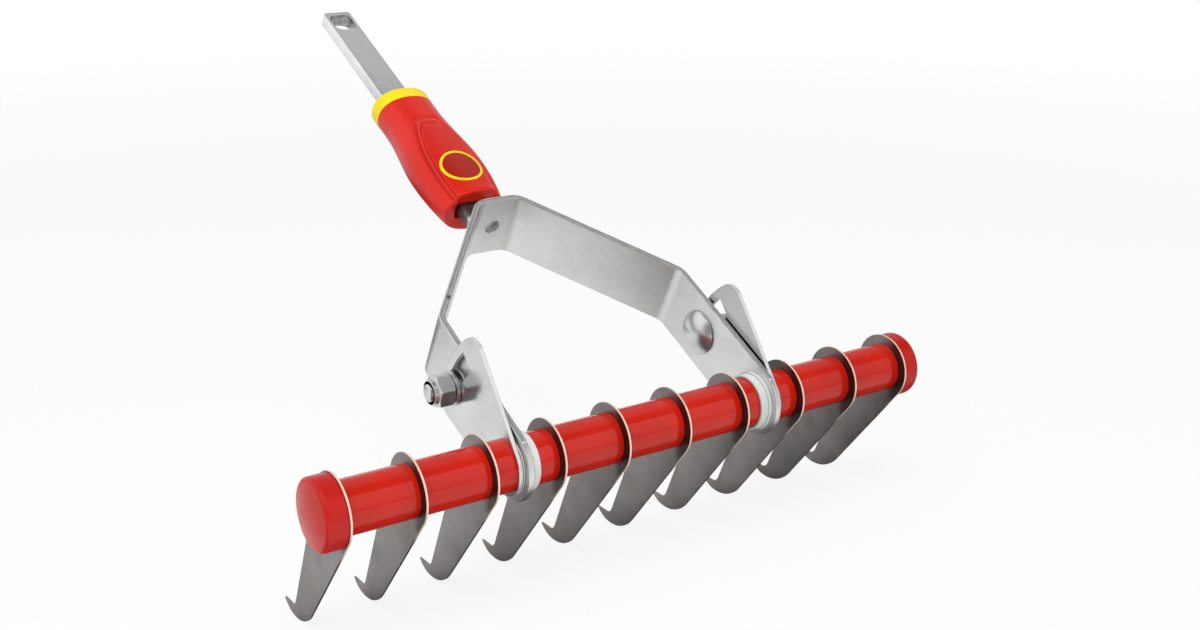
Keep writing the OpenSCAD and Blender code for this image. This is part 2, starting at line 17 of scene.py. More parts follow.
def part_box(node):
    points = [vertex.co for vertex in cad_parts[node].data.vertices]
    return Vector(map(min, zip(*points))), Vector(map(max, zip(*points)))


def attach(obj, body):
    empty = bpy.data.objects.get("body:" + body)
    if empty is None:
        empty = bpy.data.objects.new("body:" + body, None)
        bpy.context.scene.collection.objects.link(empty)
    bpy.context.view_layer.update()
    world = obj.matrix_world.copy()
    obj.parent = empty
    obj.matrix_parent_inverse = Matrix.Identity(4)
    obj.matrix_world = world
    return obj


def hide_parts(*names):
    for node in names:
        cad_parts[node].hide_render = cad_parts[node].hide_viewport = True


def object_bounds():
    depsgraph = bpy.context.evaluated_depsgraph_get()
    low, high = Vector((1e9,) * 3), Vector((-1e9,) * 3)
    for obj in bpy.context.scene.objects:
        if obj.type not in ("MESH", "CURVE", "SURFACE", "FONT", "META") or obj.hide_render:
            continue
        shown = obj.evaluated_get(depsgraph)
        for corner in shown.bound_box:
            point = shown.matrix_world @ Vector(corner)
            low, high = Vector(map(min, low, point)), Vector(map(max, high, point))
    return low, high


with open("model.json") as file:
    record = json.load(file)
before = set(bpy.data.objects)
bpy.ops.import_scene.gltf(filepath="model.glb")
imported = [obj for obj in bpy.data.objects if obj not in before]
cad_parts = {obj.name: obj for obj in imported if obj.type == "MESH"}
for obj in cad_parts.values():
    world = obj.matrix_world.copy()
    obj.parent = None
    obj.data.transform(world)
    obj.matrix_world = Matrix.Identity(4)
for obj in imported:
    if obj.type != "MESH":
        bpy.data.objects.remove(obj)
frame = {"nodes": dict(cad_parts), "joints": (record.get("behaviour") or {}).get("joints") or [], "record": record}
nodes = frame["nodes"]
cad_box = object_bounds()
print("loaded", len(nodes), "parts, box", [round(v, 4) for corner in cad_box for v in corner])

# %% [markdown]
# ## Two ways to give a place
#
# Everything on the handle side is easier to think of along the flat bar: u runs up the bar from
# the roller's axis, v stands square on it and x runs along the roller. The joint gives the axis
# and the handle's mount gives the bar's direction, so no angle is typed twice.

# %% Places along the bar
MM = 0.001
roller_axis = Vector(frame["joints"][0]["pos_m"])
mounts = {m["name"]: m for m in frame["record"]["mounts"]}
along = Vector(mounts["tang"]["axis"]).normalized()
upward = Vector((1, 0, 0)).cross(along)
# Takes (x, u, v) about the roller's axis into the shared frame
bar_axes = Matrix(((1, 0, 0), along, upward)).transposed().to_4x4()
tool_frame = Matrix.Translation(roller_axis) @ bar_axes


def on_tool(x, u, v):
    return tool_frame @ Vector((x * MM, u * MM, v * MM))


print("bar rises at", round(math.degrees(math.atan2(along.z, along.y)), 2), "degrees")

# %% [markdown]
# ## Camera
#
# The photograph is a slightly high view from the left end of the roller. The lens and the place
# were worked out from the even pitch of the blades and the round ends of the roller.

# %% Camera
CAMERA_FROM_AXIS = Vector((-0.36961, -0.51163, 0.25817))
CAMERA_TURN = math.radians(-34.218)
CAMERA_HEIGHT = math.radians(17.941)
view_back = Vector((
    math.sin(CAMERA_TURN) * math.cos(CAMERA_HEIGHT),
    -math.cos(CAMERA_TURN) * math.cos(CAMERA_HEIGHT),
    math.sin(CAMERA_HEIGHT)))
camera_data = bpy.data.cameras.new("photo_camera")
camera_data.lens = 45.68
camera_data.sensor_width = 36
camera_data.clip_start = 0.01
camera = bpy.data.objects.new("photo_camera", camera_data)
bpy.context.scene.collection.objects.link(camera)
camera.location = roller_axis + CAMERA_FROM_AXIS
camera.rotation_euler = (-view_back).to_track_quat("-Z", "Y").to_euler()
bpy.context.scene.camera = camera
print("camera at", [round(v, 3) for v in camera.location])

# %% [markdown]
# ## Writing shaders as sums
#
# A procedural finish is a small calculation: a cloudy mask, a scratch mask, a colour between two
# others. Writing it as Python sums keeps it readable, so one class wraps a socket and turns each
# operator into a Math node. A second class holds one node tree and makes all other nodes.


# %% A socket that can be added and multiplied
class Wire:
    """One output socket. Arithmetic on it adds Math nodes to its tree."""

    def __init__(self, shades, socket):
        self.shades = shades
        self.socket = socket

    def math(self, operation, *values):
        return self.shades.node("ShaderNodeMath", {"operation": operation}, values)

    def __add__(self, other):
        return self.math("ADD", self, other)

    __radd__ = __add__

    def __mul__(self, other):
        return self.math("MULTIPLY", self, other)

    __rmul__ = __mul__

    def __sub__(self, other):
        return self.math("SUBTRACT", self, other)

    def __rsub__(self, other):
        return self.math("SUBTRACT", other, self)

    def __truediv__(self, other):
        return self.math("DIVIDE", self, other)

    def __pow__(self, other):
        return self.math("POWER", self, other)

    def __abs__(self):
        return self.math("ABSOLUTE", self)

    def at_least(self, other):
        return self.math("MAXIMUM", self, other)


# %% A tree of nodes
class Shades:
    """A node tree. node() makes any node: its type, its settings, then its sockets."""

    def __init__(self, tree):
        self.tree = tree
        tree.nodes.clear()

    def node(self, kind, settings=None, sockets=None, out=0):
        made = self.tree.nodes.new(kind)
        for key, value in (settings or {}).items():
            setattr(made, key, value)
        pairs = sockets.items() if isinstance(sockets, dict) else enumerate(sockets or [])
        for key, value in pairs:
            if isinstance(value, Wire):
                self.tree.links.new(value.socket, made.inputs[key])
            elif isinstance(value, tuple) and made.inputs[key].type == "RGBA":
                made.inputs[key].default_value = (*value, 1)
            else:
                made.inputs[key].default_value = value
        if isinstance(out, tuple):
            return [Wire(self, made.outputs[place]) for place in out]
        return Wire(self, made.outputs[out]) if made.outputs else made

    def step(self, value, low, high):
        """0 below low, 1 above high, smooth between."""
        sockets = {"Value": value, "From Min": low, "From Max": high}
        return self.node("ShaderNodeMapRange", {"interpolation_type": "SMOOTHSTEP"}, sockets)

    def mix(self, share, first, second):
        return self.node("ShaderNodeMix", {"data_type": "RGBA"}, {0: share, 6: first, 7: second}, out=2)

    def blend(self, share, first, second):
        """One shader fading into another."""
        return self.node("ShaderNodeMixShader", {}, [share, first, second])

    def parts(self, vector):
        return self.node("ShaderNodeSeparateXYZ", {}, [vector], out=(0, 1, 2))

    def ray(self, kind):
        return self.node("ShaderNodeLightPath", out=f"Is {kind} Ray")

    def place(self):
        return self.node("ShaderNodeTexCoord", out="Object")

    def facing(self):
        return self.node("ShaderNodeTexCoord", out="Normal")

    def stretched(self, vector, scale, turn=(0, 0, 0)):
        return self.node("ShaderNodeMapping", {}, {"Vector": vector, "Rotation": turn, "Scale": scale})

    def cloud(self, vector, scale, detail=3, roughness=0.5):
        sockets = {"Vector": vector, "Scale": scale, "Detail": detail, "Roughness": roughness}
        return self.node("ShaderNodeTexNoise", {}, sockets)

    def bump(self, height, strength, distance):
        sockets = {"Height": height, "Strength": strength, "Distance": distance}
        return self.node("ShaderNodeBump", {}, sockets)


# %% [markdown]
# A finish is a node tree that ends in a Principled shader. Four masks come up again and again on
# this tool, so they have names: how far a point lies up the bar, how far a face turns to the bar's
# upper side or to the roller's ends, and how far a point lies from the roller's axis.


# %% A finish
class Finish(Shades):
    """One material with a Principled shader."""

    def __init__(self, name):
        self.material = bpy.data.materials.new(name)
        self.material.use_nodes = True
        super().__init__(self.material.node_tree)

    def up_the_bar(self):
        """How far up the bar a point lies, in millimetres from the roller's axis."""
        x, y, z = self.parts(self.place())
        return ((y - roller_axis.y) * along.y + (z - roller_axis.z) * along.z) / MM

    def upward_face(self):
        """1 on a face that looks up from the bar, -1 on one that looks down."""
        x, y, z = self.parts(self.facing())
        return y * upward.y + z * upward.z

    def end_face(self):
        """1 on a face square to the roller, 0 on one along it."""
        return abs(self.parts(self.facing())[0])

    def from_axis(self):
        """Distance from the roller's axis in millimetres."""
        x, y, z = self.parts(self.place())
        return ((y - roller_axis.y) ** 2 + (z - roller_axis.z) ** 2) ** 0.5 / MM

    def done(self, **sockets):
        sockets = {key.replace("_", " "): value for key, value in sockets.items()}
        shader = self.node("ShaderNodeBsdfPrincipled", {}, sockets)
        self.node("ShaderNodeOutputMaterial", {}, [shader])
        print("finish", self.material.name, "with", len(self.tree.nodes), "nodes")
        return self.material


def wear(piece, material):
    piece.data.materials.clear()
    piece.data.materials.append(material)


def shade(colour, factor):
    return tuple(min(1, factor * channel) for channel in colour)


# %% [markdown]
# ## The room
#
# The photograph is a cut-out on white in soft light. Bright metal and glossy plastic show the room
# around them, so the room has zones that only reflections see. The walls are white. The ceiling to
# the right is grey, darkest along its front edge, which draws the sharp line on the red tubes, and it
# is dark straight overhead. The room is also dark behind the camera, and dim low in front and at the
# right end, where one small window stays bright. A picture of a real room could be wrapped round
# instead, but zones made of sums are easy to move until each reflection fits.

# %% Zones of the room
CEILING_LEAN = 0.55
world = bpy.data.worlds.new("white_room")
bpy.context.scene.world = world
world.use_nodes = True
room = Shades(world.node_tree)
x, y, z = room.parts(room.node("ShaderNodeTexCoord", out="Generated"))
behind = room.step(view_back.x * x + view_back.y * y + view_back.z * z, 0.72, 0.92)
lean = y + CEILING_LEAN * z
ceiling = room.step(lean, -0.03, 0.03) * room.step(z, 0.1, 0.4) * room.step(x, -0.2, 0.2)
seam = ceiling * (1 - room.step(lean, 0.4, 0.62))
overhead = room.step(z, 0.86, 0.97)
low_front = (1 - room.step(z, 0.0, 0.25)) * room.step(-1 * y, 0.3, 0.6)
far_right = room.step(x, 0.56, 0.75)
window = room.step(x, 0.66, 0.76) * room.step(y, 0.26, 0.38)
window = window * room.step(z, 0.14, 0.28) * (1 - room.step(z, 0.5, 0.64))
lit = (1 - 0.5 * ceiling) * (1 - 0.85 * seam) * (1 - 0.8 * overhead)
lit = lit * (1 - 0.85 * behind) * (1 - 0.4 * low_front) * (1 - 0.62 * far_right)
lit = lit.at_least(0.9 * window)
print("room zones in", len(room.tree.nodes), "nodes")

# %% [markdown]
# The camera sees plain white, mirrors see the zones, and everything else gets an even half light
# that is a little stronger on the left. Light Path tells the three kinds of ray apart.

# %% World
ROOM_LIGHT, LEFT_SHARE, RIGHT_SHARE = 0.5, 1.3, 0.7
DIM_LIGHT = 0.15
WARM_WHITE, COOL_WHITE, WHITE = (1.0, 0.99, 0.98), (0.98, 0.99, 1.0), (1.0, 1.0, 1.0)


def backdrop(colour, strength):
    return room.node("ShaderNodeBackground", {}, {"Color": colour, "Strength": strength})


left_side = backdrop(WARM_WHITE, LEFT_SHARE * ROOM_LIGHT)
right_side = backdrop(WARM_WHITE, RIGHT_SHARE * ROOM_LIGHT)
white = backdrop(WHITE, 1.0)
plain = room.blend(0.5 + 0.5 * x, left_side, right_side)
walls = room.blend(lit, backdrop(COOL_WHITE, DIM_LIGHT), white)
around = room.blend(room.ray("Glossy"), plain, walls)
seen = room.ray("Camera").at_least(room.ray("Transmission"))
room.node("ShaderNodeOutputWorld", {}, [room.blend(seen, around, white)])
bpy.context.scene.view_settings.view_transform = "Standard"
print("world", world.name)

# %% [markdown]
# ## Lamps
#
# One large soft lamp from the upper left shapes the round parts, and a weaker one fills from the
# right. They don't show in reflections, where a lamp would be a hard white patch on the nuts.


# %% Lamps
def soft_lamp(name, place, aim, size, power):
    data = bpy.data.lights.new(name, "AREA")
    data.shape = "RECTANGLE"
    data.size, data.size_y = size
    data.energy = power
    lamp = bpy.data.objects.new(name, data)
    bpy.context.scene.collection.objects.link(lamp)
    lamp.location = place
    lamp.rotation_euler = (aim - place).to_track_quat("-Z", "Y").to_euler()
    lamp.visible_glossy = False
    print(name, "at", [round(v, 2) for v in lamp.location])


middle = (cad_box[0] + cad_box[1]) / 2
soft_lamp("key_lamp", middle + Vector((-0.45, -0.6, 1.1)), middle, (1.1, 0.8), 13.0)
soft_lamp("fill_lamp", middle + Vector((0.9, -1.0, 0.45)), middle, (0.9, 0.9), 0.9)

# %% [markdown]
# ## Floor
#
# The floor is white paper that fades out into the white room. A plain grid with a mixed shader is
# enough: for the camera it is mostly its own white glow, so only a faint shadow is left. For
# reflections alone it is painted dark under the roller and behind the sleeve: a painted shadow that
# the real parts mirror there.

# %% Floor
FLOOR_SIZE, FLOOR_GAP = 4.0, 0.0004
FLOOR_WHITE = 0.85
FADE_FROM, FADE_TO = 0.6, 1.7
# The painted shadow's colour, seen only in reflections
PAINTED_SHADOW_PAPER = (0.08, 0.08, 0.08)
bpy.ops.object.select_all(action="DESELECT")
bpy.ops.mesh.primitive_grid_add(x_subdivisions=8, y_subdivisions=8, size=FLOOR_SIZE)
floor = bpy.context.object
floor.name = "floor"
floor.data.transform(Matrix.Translation((middle.x, middle.y, cad_box[0].z - FLOOR_GAP)))
pale = Finish("pale_floor")
spot = pale.place()
x, y, z = pale.parts(spot)
far = pale.step(((x - middle.x) ** 2 + (y - middle.y) ** 2) ** 0.5, FADE_FROM, FADE_TO)
# Painted shadow, seen only in reflections: dark under the roller and behind the sleeve
shadow_under_roller = 1 - pale.step(abs(y - roller_axis.y), 0.02, 0.06)
shadow_past_sleeve = pale.step(y, 0.12, 0.2) * (1 - pale.step(y, 0.4, 0.5))
shadow_past_sleeve = shadow_past_sleeve * (1 - pale.step(abs(x + 0.12), 0.2, 0.28))
grey = pale.mix(pale.cloud(spot, 6.0), (0.93, 0.93, 0.93), (0.95, 0.95, 0.95))
grey = pale.mix(shadow_under_roller.at_least(shadow_past_sleeve) * pale.ray("Glossy"), grey, PAINTED_SHADOW_PAPER)
board = pale.node("ShaderNodeBsdfPrincipled", {}, {"Base Color": grey, "Roughness": 0.9})
glow = pale.node("ShaderNodeEmission", {}, {"Color": WHITE, "Strength": 1.0})
paper = pale.blend(FLOOR_WHITE * pale.ray("Camera"), board, glow)
clear = pale.node("ShaderNodeBsdfTransparent")
pale.node("ShaderNodeOutputMaterial", {}, [pale.blend(far, paper, clear)])
wear(floor, pale.material)
print("floor at", round(cad_box[0].z, 4))

# %% [markdown]
# ## Plated steel
#
# Zinc plated steel is a bright grey metal with faint clouds, fine rolling lines and a few
# scratches. One recipe serves strip, plates, bolts and bar with other numbers. What only one of
# them has, such as a scorched foot, is a mark: a function that changes the plain look.

# %% Plain plating
SCRATCH_STRETCH, SCRATCH_TURN = (900, 60, 700), (0.5, 0.3, 0.2)
PLATING_RELIEF = 0.0004


def plated(name, colour, roughness, clouds, grain, marks=()):
    """clouds is their scale, grain the rolling lines' turn, stretch and depth."""
    finish = Finish(name)
    spot = finish.place()
    turn, stretch, depth = grain
    cloud = finish.cloud(spot, clouds, 5, 0.6)
    blotch = finish.cloud(spot, clouds * 4.3, 4, 0.65)
    lines = finish.cloud(finish.stretched(spot, stretch, turn), 1.0, 4, 0.6)
    scratch = finish.cloud(finish.stretched(spot, SCRATCH_STRETCH, SCRATCH_TURN), 1.0, 2)
    scratch = finish.step(scratch, 0.68, 0.74)
    tone = finish.step(0.55 * cloud + 0.25 * blotch + 0.2 * lines, 0.3, 0.72)
    look = {"colour": colour, "blotch": blotch, "lines": lines, "metal": 1.0,
            "base": finish.mix(tone, shade(colour, 0.84), shade(colour, 1.12)),
            "rough": roughness * (0.7 + 0.6 * blotch) + 0.12 * scratch}
    for mark in marks:
        mark(finish, look)
    height = lines + 0.6 * cloud - 0.5 * scratch
    return finish.done(Base_Color=look["base"], Metallic=look["metal"], Roughness=look["rough"],
                       Normal=finish.bump(height, depth, PLATING_RELIEF))


UNTURNED = (0, 0, 0)
bolt_zinc = plated("zinc_fastener", (0.7, 0.71, 0.7), roughness=0.3, clouds=60,
                   grain=(UNTURNED, (400, 400, 400), 0.04))
head_zinc = plated("zinc_bolt", (0.74, 0.75, 0.74), roughness=0.3, clouds=30,
                   grain=(UNTURNED, (150, 150, 150), 0.015))
shaft_steel = plated("shaft_steel", (0.5, 0.5, 0.5), roughness=0.4, clouds=30,
                     grain=(UNTURNED, (30, 700, 700), 0.05))

# %% [markdown]
# The two link plates are smoother and mirror the floor. Their stamped edges are paler and less like a
# mirror, and the right-hand plate is painted darker than the left one: painted shade for the darker
# things that it mirrors. The normal tells an edge from a face, so no face has to be picked by hand.

# %% Link plates
EDGE_ZINC, EDGE_MATT = (0.7, 0.715, 0.7), 0.6
# Share of painted shade on the right-hand plate
RIGHT_PLATE_SHADE = 0.45


def pale_edges(finish, look):
    edge = 1 - finish.step(finish.end_face(), 0.4, 0.8)
    look["base"] = finish.mix(edge, look["base"], EDGE_ZINC)
    look["metal"] = 1 - EDGE_MATT * edge


# Painted shade: the right-hand plate is darkened, standing in for the darker things that it mirrors
def shade_right_plate(finish, look):
    x, y, z = finish.parts(finish.place())
    right = RIGHT_PLATE_SHADE * finish.step(x, -0.02, 0.02)
    look["base"] = finish.mix(right, look["base"], shade(look["colour"], 0.5))


plate_zinc = plated("zinc_plate", (0.7, 0.72, 0.71), roughness=0.17, clouds=24,
                    grain=((0.8, 0, 0), (300, 60, 700), 0.03), marks=[shade_right_plate, pale_edges])

# %% [markdown]
# The bar is darker and rougher where it goes into the sleeve's lower opening: painted shade there.
# At its other end a window is punched through for the handle's latch, and its walls are darker and
# streaky. Both are masks of the place along the bar, so they hold whatever faces the mesh has.

# %% Bar
# In millimetres up the bar and beside its middle
FOOT_SHADE_FROM, FOOT_SHADE_TO, FOOT_SHADE_WANDER = 160, 178, 12
# Colours of the painted shade at the bar's foot and of the window's darker walls
FOOT_SHADE, WINDOW_WALL_DARK = (0.15, 0.155, 0.155), (0.24, 0.24, 0.235)
WINDOW_FROM, WINDOW_TO, WINDOW_SIDE = 319, 334.8, 6.8
BAR_TURN = (math.atan2(along.z, along.y), 0, 0)


# Painted shade on the bar's foot, round its neck and inside the sleeve's lower opening; it is rougher there too
def shaded_foot(finish, look):
    climb = finish.up_the_bar() + FOOT_SHADE_WANDER * look["blotch"]
    shaded = finish.step(climb, FOOT_SHADE_FROM - 3, FOOT_SHADE_FROM)
    shaded = shaded * (1 - finish.step(climb, FOOT_SHADE_TO - 12, FOOT_SHADE_TO))
    patchy = 0.86 + 0.12 * finish.step(look["blotch"], 0.42, 0.6)
    look["base"] = finish.mix(shaded * patchy, look["base"], FOOT_SHADE)
    look["rough"] = look["rough"] + 0.2 * shaded


# The window's walls are darker and streaky
def window_walls(finish, look):
    climb = finish.up_the_bar()
    x, y, z = finish.parts(finish.place())
    walls = 1 - finish.step(abs(x) / MM, WINDOW_SIDE - 0.3, WINDOW_SIDE)
    walls = walls * finish.step(climb, WINDOW_FROM, WINDOW_FROM + 0.6)
    walls = walls * (1 - finish.step(climb, WINDOW_TO - 0.6, WINDOW_TO))
    walls = walls * (1 - finish.step(abs(finish.upward_face()), 0.5, 0.8))
    streaks = 0.55 + 0.4 * finish.step(look["lines"], 0.45, 0.55)
    look["base"] = finish.mix(walls * streaks, look["base"], WINDOW_WALL_DARK)


bar_steel = plated("tang_steel", (0.82, 0.83, 0.825), roughness=0.33, clouds=26,
                   grain=(BAR_TURN, (900, 25, 900), 0.025), marks=[shaded_foot, window_walls])

# %% [markdown]
# The strip was sheared from sheet, so its long edges are bright with torn dark lines along them,
# and one nick. The lines follow the strip round its bends. For that, the largest of three straight
# runs gives how far a point lies to the outside of the strip's middle line, and a noise stretched
# along the strip makes the lines wander.

# %% Strip
# The strip's middle line in millimetres: straight tabs, slanting arms, a short web
TAB_MIDDLE, TAB_LEN, WEB_REACH = 66.792, 75, 145
ARM_OUT = 0.782, 0.6233
NICK_X, NICK_CLIMB = -57.5, 85.8
# How far to the outside a torn line lies, and how far it wanders
LINE_PLACE, LINE_WANDER = 0.25, 1.1
LIP_PLACE, LIP_WANDER = -1.15, 1.6
SHEARED, TORN = (0.95, 0.96, 0.95), (0.12, 0.122, 0.12)


def torn_line(finish, across, torn, place, wander):
    return 1 - finish.step(abs(across + wander * (torn - 0.5) - place), 0.12, 0.4)


def torn_edges(finish, look):
    climb = finish.up_the_bar()
    x, y, z = finish.parts(finish.place())
    beside = abs(x) / MM - TAB_MIDDLE
    arm = ARM_OUT[0] * beside + ARM_OUT[1] * (climb - TAB_LEN)
    across = beside.at_least(arm).at_least(climb - WEB_REACH)
    cut = finish.step(abs(finish.upward_face()), 0.7, 0.95)
    run = finish.node("ShaderNodeCombineXYZ", {}, [across, 0.06 * climb, 60 * x])
    torn = finish.cloud(run, 2.4, 4, 0.65)
    line = torn_line(finish, across, torn, LINE_PLACE, LINE_WANDER)
    lip = torn_line(finish, across, torn, LIP_PLACE, LIP_WANDER) * finish.step(torn, 0.42, 0.52)
    from_nick = ((x / MM - NICK_X) ** 2 + (climb - NICK_CLIMB) ** 2) ** 0.5
    nick = 1 - finish.step(from_nick, 0.8, 1.7)
    look["base"] = finish.mix(0.6 * cut, look["base"], SHEARED)
    dark = cut * (0.5 * line).at_least(0.55 * lip).at_least(0.85 * nick)
    look["base"] = finish.mix(dark, look["base"], TORN)
    look["rough"] = look["rough"] + 0.15 * cut


strip_zinc = plated("zinc_strip", (0.76, 0.78, 0.765), roughness=0.34, clouds=18,
                    grain=(BAR_TURN, (500, 30, 900), 0.05), marks=[torn_edges])

# %% [markdown]
# ## Blade steel
#
# The blades are hardened sheet steel: a dark brownish grey face with blue and brown tints from the
# heat, and bright edges where the sheet was cut, warmed by a painted reflection of the red tubes. The
# face looks along x, so the normal tells face from edge. Painted shade lies in front, round the red
# tubes, and the cut edge is brightest round the ring, where the painted reflection lies, and dull along the blade.

# %% Blades' finish
# In millimetres from the roller's axis
TUBE_SHADE_FROM, TUBE_SHADE_TO = 15.5, 19
RING_EDGE, BLADE_EDGE = 17, 24
FACE_DARK, FACE_LIGHT = (0.21, 0.196, 0.192), (0.315, 0.298, 0.29)
# Cut edges of bare steel, warmed round the ring by a painted reflection of the red tubes; dull along the blade
CUT_RED_SHEEN_DARK, CUT_RED_SHEEN_LIGHT, CUT_DULL = (0.86, 0.6, 0.47), (0.97, 0.74, 0.6), (0.4, 0.34, 0.3)
BROWN_TINT, BLUE_TINT = (0.17, 0.11, 0.08), (0.1, 0.12, 0.17)
# Pits, and the painted shade round the red tubes
PITTED, TUBE_SHADE = (0.05, 0.045, 0.04), (0.06, 0.045, 0.04)


def blade_face(finish, cloud, pits, from_axis):
    spot = finish.place()
    tint = finish.cloud(spot, 34, 2)
    face = finish.mix(finish.step(cloud, 0.3, 0.7), FACE_DARK, FACE_LIGHT)
    face = finish.mix(0.35 * finish.step(tint, 0.52, 0.72), face, BROWN_TINT)
    face = finish.mix(0.3 * finish.step(1 - tint, 0.55, 0.72), face, BLUE_TINT)
    face = finish.mix(0.4 * pits, face, PITTED)
    x, y, z = finish.parts(spot)
    # Painted shade in front of the rings, round the red tubes
    near_tube_shade = 1 - finish.step(from_axis, TUBE_SHADE_FROM, TUBE_SHADE_TO)
    near_tube_shade = near_tube_shade * finish.step((roller_axis.y - y) / MM, 3, 9)
    return finish.mix(0.82 * near_tube_shade, face, TUBE_SHADE)


def blade_steel():
    finish = Finish("tine_steel")
    spot = finish.place()
    from_axis = finish.from_axis()
    cloud = finish.cloud(spot, 22, 4, 0.6)
    lines = finish.cloud(finish.stretched(spot, (200, 160, 900), (0.75, 0, 0)), 1.0, 3)
    pits = finish.step(finish.cloud(spot, 900, 2), 0.66, 0.74)
    edge = 1 - finish.step(finish.end_face(), 0.75, 0.97)
    blade = finish.step(from_axis, RING_EDGE, BLADE_EDGE)
    # Round the ring the cut edge is bright, warm and less metallic: bare steel with a painted reflection of the
    # red tubes
    cut = finish.mix(blade, finish.mix(lines, CUT_RED_SHEEN_DARK, CUT_RED_SHEEN_LIGHT), CUT_DULL)
    height = 0.7 * lines + 0.3 * cloud - 0.8 * pits
    return finish.done(Base_Color=finish.mix(edge, blade_face(finish, cloud, pits, from_axis), cut),
                       Metallic=1 - 0.7 * edge * (1 - blade),
                       Roughness=0.34 + 0.14 * cloud + 0.12 * pits,
                       Normal=finish.bump(height, 0.06, 0.0003))


tine_steel = blade_steel()

# %% [markdown]
# ## Moulded plastic
#
# Moulded plastic is nearly one colour, but never quite: the colour clouds a little, the gloss
# changes where hands and grass have rubbed it, and the surface has a very fine orange peel. Marks
# add what one piece alone has: the dark oval field on the sleeve's panel, and painted shade on the
# flanges of the white bushes.

# %% Plastics
ORANGE_PEEL, PEEL_RELIEF = 1500, 0.0002
# How strongly a mark shows, and the share of the plain colour that it keeps
MARK_STRENGTH, MARK_SHARE = 0.75, 0.45
# The oval on the sleeve in millimetres: its place up the bar, its half width and half length
OVAL_PLACE = 181.8
OVAL_HALF = (10.6, 10.6)


def moulded(name, colour, roughness, peel, specular=0.5, marks=()):
    finish = Finish(name)
    spot = finish.place()
    cloud = finish.cloud(spot, 30, 3)
    rub = finish.step(finish.cloud(spot, 110, 5, 0.7), 0.56, 0.75)
    tone = finish.step(cloud, 0.3, 0.7)
    look = {"colour": colour, "cloud": cloud,
            "base": finish.mix(tone, shade(colour, 0.88), shade(colour, 1.08))}
    for mark in marks:
        mark(finish, look)
    height = finish.cloud(spot, ORANGE_PEEL, 2) + 0.4 * rub
    return finish.done(Base_Color=look["base"], Roughness=roughness * (0.75 + 0.5 * cloud + 0.6 * rub),
                       Normal=finish.bump(height, peel, PEEL_RELIEF), Specular_IOR_Level=specular)


def oval_field(finish, look):
    x, y, z = finish.parts(finish.place())
    wide, long = OVAL_HALF
    from_middle = (x / MM / wide) ** 2 + ((finish.up_the_bar() - OVAL_PLACE) / long) ** 2
    inside = (1 - finish.step(from_middle, 0.9, 1.0)) * finish.step(finish.upward_face(), 0.2, 0.4)
    look["base"] = finish.mix(MARK_STRENGTH * inside, look["base"], shade(look["colour"], MARK_SHARE))


# Painted shade on the white bushes' flanges, the faces square to the roller
def shaded_flange(finish, look):
    flange = finish.step(finish.end_face(), 0.6, 0.9)
    flange_shade = MARK_STRENGTH * flange * (0.7 + 0.6 * look["cloud"])
    look["base"] = finish.mix(flange_shade, look["base"], shade(look["colour"], MARK_SHARE))


tube_red = moulded("red_tube", (0.56, 0.012, 0.003), roughness=0.06, peel=0.01, specular=0.4)
cap_red = moulded("red_cap", (0.5, 0.009, 0.005), roughness=0.28, peel=0.03, specular=0.3)
sleeve_red = moulded("sleeve_plastic", (0.65, 0.012, 0.003), roughness=0.26, peel=0.03, specular=0.42,
                     marks=[oval_field])
collar_yellow = moulded("collar_plastic", (0.97, 0.73, 0.01), roughness=0.33, peel=0.04, specular=0.25)
bush_white = moulded("white_bush", (0.7, 0.725, 0.7), roughness=0.36, peel=0.03, specular=0.35,
                     marks=[shaded_flange])
nylon = moulded("nylon", (0.75, 0.76, 0.7), roughness=0.4, peel=0.04)

# %% [markdown]
# ## A finish for every part
#
# The record names a material slot for each solid part. A table gives each slot its finish, so a
# part that keeps its own mesh is dressed here, and a new piece later takes the finish of the part
# that it stands for.

# %% Every solid part gets its finish
FINISHES = {
    "tine_steel": tine_steel, "shaft_steel": shaft_steel, "tang_steel": bar_steel,
    "zinc_plate": plate_zinc, "zinc_strip": strip_zinc, "zinc_fastener": bolt_zinc,
    "red_tube": tube_red, "red_cap": cap_red, "sleeve_plastic": sleeve_red,
    "collar_plastic": collar_yellow, "white_bush": bush_white, "nylon": nylon}
slot_of = {part["node"]: part["material_slot"] for part in frame["record"]["subparts"]}
for name, part in nodes.items():
    wear(part, FINISHES[slot_of[name]])
print("finishes on", len(nodes), "parts")

# %% [markdown]
# ## Working on one piece at a time
#
# An operator acts on whatever is selected, and the loaded parts come in selected. So every piece
# starts by deselecting all the others. Two helpers do this, one for the whole object and one that
# steps into edit mode. Another makes a copy with a mesh of its own.


# %% Helpers for pieces
def only(piece):
    bpy.ops.object.select_all(action="DESELECT")
    piece.select_set(True)
    bpy.context.view_layer.objects.active = piece


def edit_all(piece):
    only(piece)
    bpy.ops.object.mode_set(mode="EDIT")
    bpy.ops.mesh.select_all(action="SELECT")


def apply_modifier(piece, kind, **settings):
    only(piece)
    modifier = piece.modifiers.new("shape", kind)
    for key, value in settings.items():
        setattr(modifier, key, value)
    bpy.ops.object.modifier_apply(modifier=modifier.name)


def copied(source, name):
    piece = bpy.data.objects.new(name, source.data.copy())
    bpy.context.scene.collection.objects.link(piece)
    return piece


def dress(piece, slot, body):
    wear(piece, FINISHES[slot])
    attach(piece, body)


def stand_for(piece, node):
    """The piece takes the node's place, body and finish."""
    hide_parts(node)
    on_roller = node in frame["record"]["behaviour"]["bodies"]["roller"]
    dress(piece, slot_of[node], "roller" if on_roller else "tool")


# %% [markdown]
# ## Sheet metal with real edges
#
# The solids have knife-sharp edges, and a sharp edge never catches the light. Punched and plated
# sheet has a small round on every edge, which shows as a thin bright line. A copy of the part is
# merged into clean faces, its corners are bevelled, and weighted normals keep the flats flat.

# %% Round the edges of a copy
FLAT, CORNER, SMOOTH = math.radians(0.3), math.radians(30), math.radians(35)


